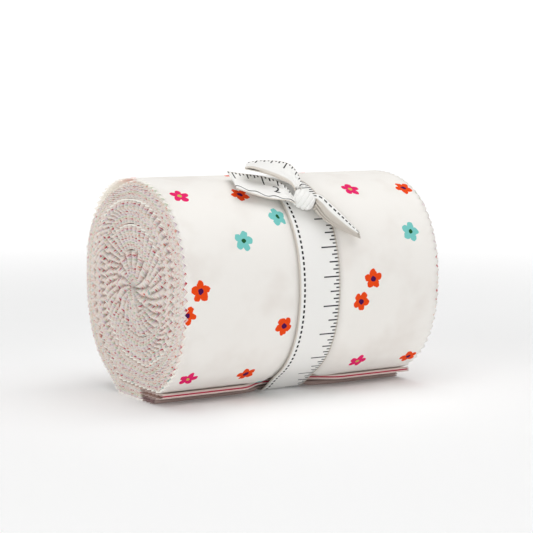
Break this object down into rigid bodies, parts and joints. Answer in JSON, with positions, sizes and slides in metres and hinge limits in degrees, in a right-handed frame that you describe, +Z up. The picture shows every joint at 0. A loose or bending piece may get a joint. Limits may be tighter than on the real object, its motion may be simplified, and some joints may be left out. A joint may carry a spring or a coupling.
{
  "type": "tied roll of fabric strips",
  "caption": "Wound roll of pinked cotton fabric strips, folded and rolled together, lying on its side and tied round the middle with a cotton tape in a one-loop bow.",
  "frame": {"origin": "middle of the bounding box at the flat spot on which the roll rests", "axes": "+X along the roll's axis, -Y towards the front with the bow, +Z up"},
  "size_m": [0.127, 0.0907, 0.0995],
  "materials": {
    "cut_edges": "pinked cut edges of plain woven cotton, matt",
    "cotton": "printed plain woven cotton, matt, warm white",
    "folded_cotton": "folded plain woven cotton, matt, in shade",
    "tape": "flat woven cotton tape, matt, printed with a plain ruler scale"
  },
  "bodies": {
    "root": {"roll": "cut_edges", "strip_end_upper": "cotton", "strip_end_lower": "folded_cotton", "tie_band": "tape", "tie_knot": "tape", "tie_loop": "tape", "tie_tail_left": "tape", "tie_tail_right": "tape"}
  },
  "joints": []
}
